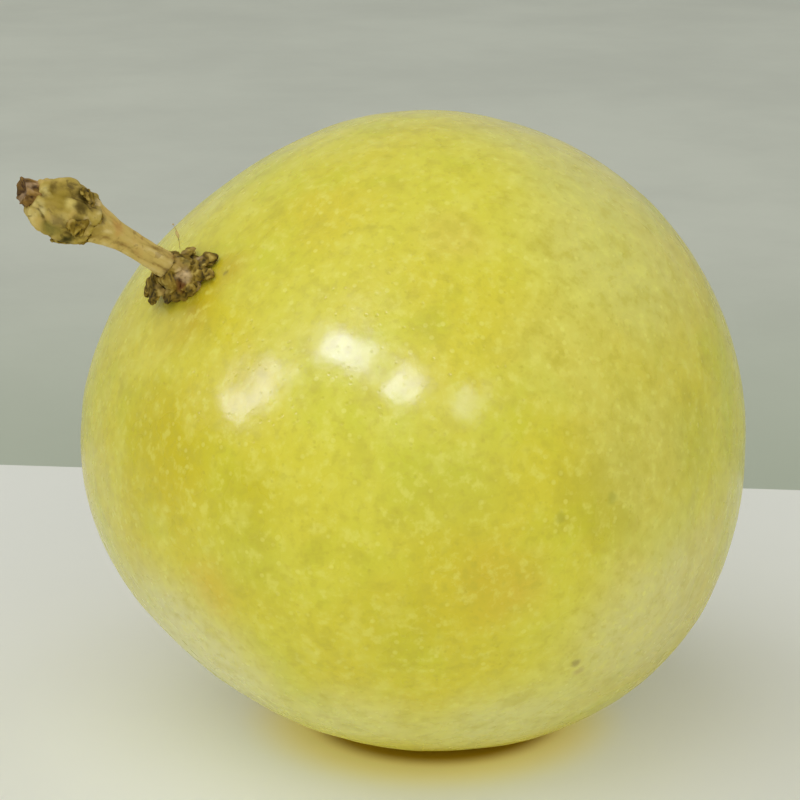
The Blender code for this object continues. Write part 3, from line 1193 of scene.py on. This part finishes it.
@dataclass
class FlowerBase:
    """The shrivelled flower base at the stalk's end, its withered sepals and the broken stub."""

    line: StalkLine
    mouth: float = 12.4
    tail: float = 18.6
    outline: Outline = (
        (0.0, 1.3),
        (1.7, 1.2),
        (1.9, 0.5),
        (2.15, 0.0),
        (2.45, -0.05),
        (2.62, 0.35),
        (2.6, 1.0),
        (2.78, 1.8),
        (2.86, 2.8),
        (2.75, 3.7),
        (2.5, 4.5),
        (2.1, 5.3),
        (1.7, 5.9),
        (1.45, 6.3),
        (0.0, 6.4),
    )
    sepals: tuple[Shred, ...] = (
        Shred(0, (2.3, 12.5), 205, 1.5, 1.9, 0.7, -30, 12, 1.9),
        Shred(40, (2.7, 13.6), 60, 2.2, 1.8, 0.55, -28, -15, 3.0),
        Shred(72, (2.3, 12.6), 225, 1.2, 1.7, 0.7, -35, -10, 2.7),
        Shred(144, (2.3, 12.5), 215, 1.4, 1.8, 0.7, -30, 18, 4.1),
        Shred(180, (2.5, 13.4), 52, 1.7, 1.9, 0.6, -30, 14, 5.6),
        Shred(216, (2.3, 12.4), 210, 1.7, 1.9, 0.7, -40, -14, 6.6),
        Shred(252, (2.6, 13.4), 58, 2.4, 2.0, 0.55, -26, 16, 7.2),
        Shred(288, (2.3, 12.5), 220, 1.3, 1.8, 0.7, -34, 9, 8.3),
        Shred(320, (2.6, 13.5), 56, 1.9, 1.7, 0.55, -30, -12, 9.5),
    )
    ridges: int = 5
    ridge_depth: float = 0.25
    narrow_ridges: int = 11
    narrow_depth: float = 0.07
    crumple: Crumple = Crumple(2.0, 0.50, 2.3, 0.5)
    fine_crumple: Crumple = Crumple(0.8, 0.14, 7.7, 0.6)
    lumps: Crumple = Crumple(2.6, 0.26, 5.1)
    stub_length: float = 1.5
    stub_radius: float = 1.35
    stub_tip_radius: float = 1.15
    break_slope: float = 0.42
    break_hollow: float = 0.55
    pith: float = 0.05

    def shape(self, point: Vector) -> tuple[Vector, float]:
        """Shrivels the turned cup: lengthwise folds, lumps and pits.

        Args:
            point: a point of the plain cup.

        Returns:
            Its new place, and how far up its fold it lies.
        """
        round_axis = math.atan2(point.y, point.x)
        height = point.z / MM
        ridge = math.cos(self.ridges * round_axis + 0.5 + 0.2 * height)
        narrow = math.cos(self.narrow_ridges * round_axis - 0.25 * height)
        folds = self.crumple.folds(point)
        fine = self.fine_crumple.folds(point)
        out = self.ridge_depth * ridge + self.narrow_depth * narrow
        out += self.crumple.depth * (folds - 0.4)
        out += self.fine_crumple.depth * (fine - 0.4)
        out += self.lumps.depth * self.lumps.lumps(point)
        out *= MM
        reach = max(1e-6, math.hypot(point.x, point.y))
        share = min(1.0, reach / (1.5 * MM))
        scale = 1 + out * share / reach
        where = Vector((point.x * scale, point.y * scale, point.z + self.mouth * MM))
        return where, 0.12 + 0.5 * folds + 0.28 * fine + 0.12 * ridge

    def stub_shape(self, point: Vector) -> tuple[Vector, float]:
        """Makes the stub from a plain rod: fibrous, broken off on a slope, and hollow at the break.

        Args:
            point: a point of the rod.

        Returns:
            Its new place, and how far up its fold it lies.
        """
        u = point.z
        reach = math.hypot(point.x, point.y)
        round_axis = math.atan2(point.y, point.x)
        radius = (self.stub_radius + (self.stub_tip_radius - self.stub_radius) * u) * MM
        fibres = crease(Vector((math.cos(round_axis), math.sin(round_axis), u * 0.35)), 0.33, 3.9)
        radius *= 0.94 + 0.16 * fibres
        height = self.tail * MM + (u * self.stub_length - 0.25) * MM
        height += u * (point.x * self.break_slope + 0.25 * smooth_noise(point, 0.45, 2.2)) * MM
        if u > 0.99 and reach < self.pith:
            height -= self.break_hollow * MM
        where = Vector((point.x * radius, point.y * radius, height))
        return where, fibres * 0.8 if reach > self.pith else 0.0

    def build(self) -> list[bpy.types.Object]:
        """Builds the cup, its sepals and the stub.

        Returns:
            The three pieces.
        """
        turn = self.line.frame(self.mouth * MM)
        cup = self.line.bend(rumple(turned(smooth_path(self.outline, 6), 110, False), self.shape))
        strips = self.line.bend(join(strip.make() for strip in self.sepals))
        stub = self.line.bend(rumple(rod(40, 16), self.stub_shape))
        nodes = [f"sepal_{index}" for index in range(1, 6)]
        return [
            add_piece("flower_cup", cup, CUP.make(turn), ["flower_base"]),
            add_piece("withered_sepals", strips, SHRIVELLED.make(turn), nodes),
            add_piece("broken_stub", stub, BROKEN.make(turn), ["fruit_stalk_stub"]),
        ]


# Studio ----------------------------------------------------------------------


DAYLIGHT: Colour = (0.62, 0.64, 1.0)


@dataclass(frozen=True)
class Lamp:
    """A soft box or pane: which way and how far it stands from the fruit, its size and power.

    Its azimuth, elevation and roll are in degrees; its roll turns it about the way it faces.
    """

    name: str
    azimuth: float
    elevation: float
    distance: float
    size: tuple[float, float]
    power: float
    light: Light
    tint: Colour = (1.0, 1.0, 1.0)
    roll: float = 0.0


@dataclass
class Studio:
    """White card on a grey board, soft light from above and from the left, and the camera."""

    middle: Vector
    azimuth: float = -28.9
    elevation: float = 17.0
    distance: float = 0.29
    aim: tuple[float, float] = (-0.00218, 0.0041)
    sensor: float = 36.0
    lens: float = 123.57
    card_reach: float = 0.083
    card_turn: float = -5.5
    card_size: float = 2.4
    board_size: float = 12.0
    board_drop: float = 0.003
    card_thickness: float = 0.0012
    board_thickness: float = 0.02
    near_clip: float = 0.01
    ambient: float = 0.50
    card: CardFinish = CardFinish(
        "white_card",
        (0.79, 0.80, 0.72),
        # Painted shade under the fruit: a warm yellow shadow tint and, nearer the contact, a dark
        # brown contact shadow.
        tints_and_painted_shade=(
            Patch((-2.0, 0.0, 0.0), 22.0, (0.90, 0.77, 0.26), 0.92, 0.60),
            Patch((-2.0, -1.0, 0.0), 15.0, (0.60, 0.40, 0.015), 1.0, 0.78),
        ),
        glow=(
            Patch((-9.0, -9.0, 0.0), 50.0, (0.110, 0.116, 0.120), 1.0),
            Patch((-3.0, -3.0, 0.0), 22.0, (0.140, 0.128, 0.045), 1.0, 0.60),
            Patch((-2.0, -1.0, 0.0), 14.5, (0.0, 0.0, 0.0), 1.0, 0.80),
        ),
    )
    board: CardFinish = CardFinish(
        "grey_board",
        (0.565, 0.59, 0.49),
        uneven=0.22,
        grain=80.0,
        roughness=0.7,
        # Darker and greener towards the fruit, out to 260 mm.
        tints_and_painted_shade=(Patch((0.0, 0.0, 0.0), 260.0, (0.40, 0.45, 0.33), 0.9),),
    )
    lamps: tuple[Lamp, ...] = (
        Lamp("overhead_soft_box", 170, 66, 1.3, (1.6, 1.6), 7.0, Light.MATT),
        Lamp("front_soft_box", -113, 22, 1.3, (1.6, 1.2), 6.6, Light.MATT),
        Lamp("upper_pane", -163, 56.5, 1.0, (0.40, 0.12), 5.0, Light.SHEEN, DAYLIGHT, 15),
        Lamp("middle_pane", -122, 48.5, 1.0, (0.26, 0.16), 3.5, Light.SHEEN, DAYLIGHT, 52),
        Lamp("left_pane", 167, 30.5, 1.0, (0.36, 0.15), 3.2, Light.SHEEN, DAYLIGHT, 63),
        Lamp("right_pane", -88, 39.7, 1.0, (0.20, 0.08), 0.90, Light.SHEEN, DAYLIGHT, 39),
    )

    def way(self, azimuth: float, elevation: float) -> Vector:
        """The unit direction of an azimuth from +X and an elevation, in degrees."""
        a, e = math.radians(azimuth), math.radians(elevation)
        return Vector((math.cos(a) * math.cos(e), math.sin(a) * math.cos(e), math.sin(e)))

    def slab(
        self, name: str, size: float, thickness: float, place: Matrix, finish: CardFinish
    ) -> None:
        """Lays a square slab, its top at its place's origin.

        Args:
            name: the slab's name.
            size: the length of its side.
            thickness: how thick it is.
            place: where the middle of its top lies.
            finish: its finish.
        """
        bm = bmesh.new()
        bmesh.ops.create_cube(bm, size=1)
        sides = Matrix.Diagonal((size, size, thickness, 1))
        down = Matrix.Translation((0, 0, -thickness / 2))
        bmesh.ops.transform(bm, matrix=place @ (down @ sides), verts=bm.verts)
        mesh = bpy.data.meshes.new(name)
        bm.to_mesh(mesh)
        bm.free()
        mesh.materials.append(finish.make())
        slab = bpy.data.objects.new(name, mesh)
        bpy.context.scene.collection.objects.link(slab)

    def lay_stage(self) -> None:
        """Lays the card, whose straight back edge shows behind the fruit, on the board."""
        turn = Matrix.Rotation(math.radians(self.azimuth + self.card_turn), 4, "Z")
        on_floor = Matrix.Translation((self.middle.x, self.middle.y, 0))
        back = Matrix.Translation((0, self.card_reach - self.card_size / 2, 0))
        self.slab("card", self.card_size, self.card_thickness, on_floor @ turn @ back, self.card)
        below = Matrix.Translation((0, 0, -self.board_drop))
        self.slab("board", self.board_size, self.board_thickness, below, self.board)

    def hang_lamps(self) -> None:
        """Hangs every lamp, facing the fruit, and fills the room with soft light."""
        world = bpy.data.worlds.new("soft_room")
        world.use_nodes = True
        background = world.node_tree.nodes["Background"]
        background.inputs["Color"].default_value = (1.0, 1.0, 1.0, 1.0)
        background.inputs["Strength"].default_value = self.ambient
        bpy.context.scene.world = world
        for lamp in self.lamps:
            light = bpy.data.lights.new(lamp.name, "AREA")
            light.shape = "RECTANGLE"
            light.size, light.size_y = lamp.size
            light.energy = lamp.power
            light.color = lamp.tint
            holder = bpy.data.objects.new(lamp.name, light)
            holder.visible_diffuse = lamp.light is not Light.SHEEN
            holder.visible_glossy = lamp.light is not Light.MATT
            way = self.way(lamp.azimuth, lamp.elevation)
            roll = Matrix.Rotation(math.radians(lamp.roll), 4, "Z")
            turn = way.to_track_quat("Z", "Y").to_matrix().to_4x4() @ roll
            holder.matrix_world = Matrix.Translation(self.middle + way * lamp.distance) @ turn
            bpy.context.scene.collection.objects.link(holder)

    def set_camera(self) -> None:
        """Stands the camera in front of the fruit, a little above it."""
        back = self.way(self.azimuth - 90, self.elevation)
        right = Vector((0, 0, 1)).cross(back).normalized()
        up = back.cross(right)
        stand = self.middle + back * self.distance
        target = self.middle + right * self.aim[0] + up * self.aim[1]
        camera = bpy.data.cameras.new("camera")
        camera.sensor_width = self.sensor
        camera.lens = self.lens
        camera.clip_start = self.near_clip
        holder = bpy.data.objects.new("camera", camera)
        turn = (target - stand).to_track_quat("-Z", "Y").to_matrix().to_4x4()
        holder.matrix_world = Matrix.Translation(stand) @ turn
        bpy.context.scene.collection.objects.link(holder)
        bpy.context.scene.camera = holder

    def build(self) -> None:
        """Sets the whole studio up."""
        self.lay_stage()
        self.hang_lamps()
        self.set_camera()
        bpy.context.scene.view_settings.view_transform = "Standard"


def main() -> None:
    """Builds the fruit, its stalk and the studio."""
    logging.basicConfig(level=logging.INFO, format="%(name)s %(message)s")
    fruit = Fruit()
    line = StalkLine(fruit.shape.pole(1), fruit.shape.stalk_rise())
    fruit.build()
    StalkColumn(line).build()
    StamenRing(line).build()
    FlowerBase(line).build()
    Studio(fruit.shape.place().translation).build()


if __name__ == "__main__":
    main()
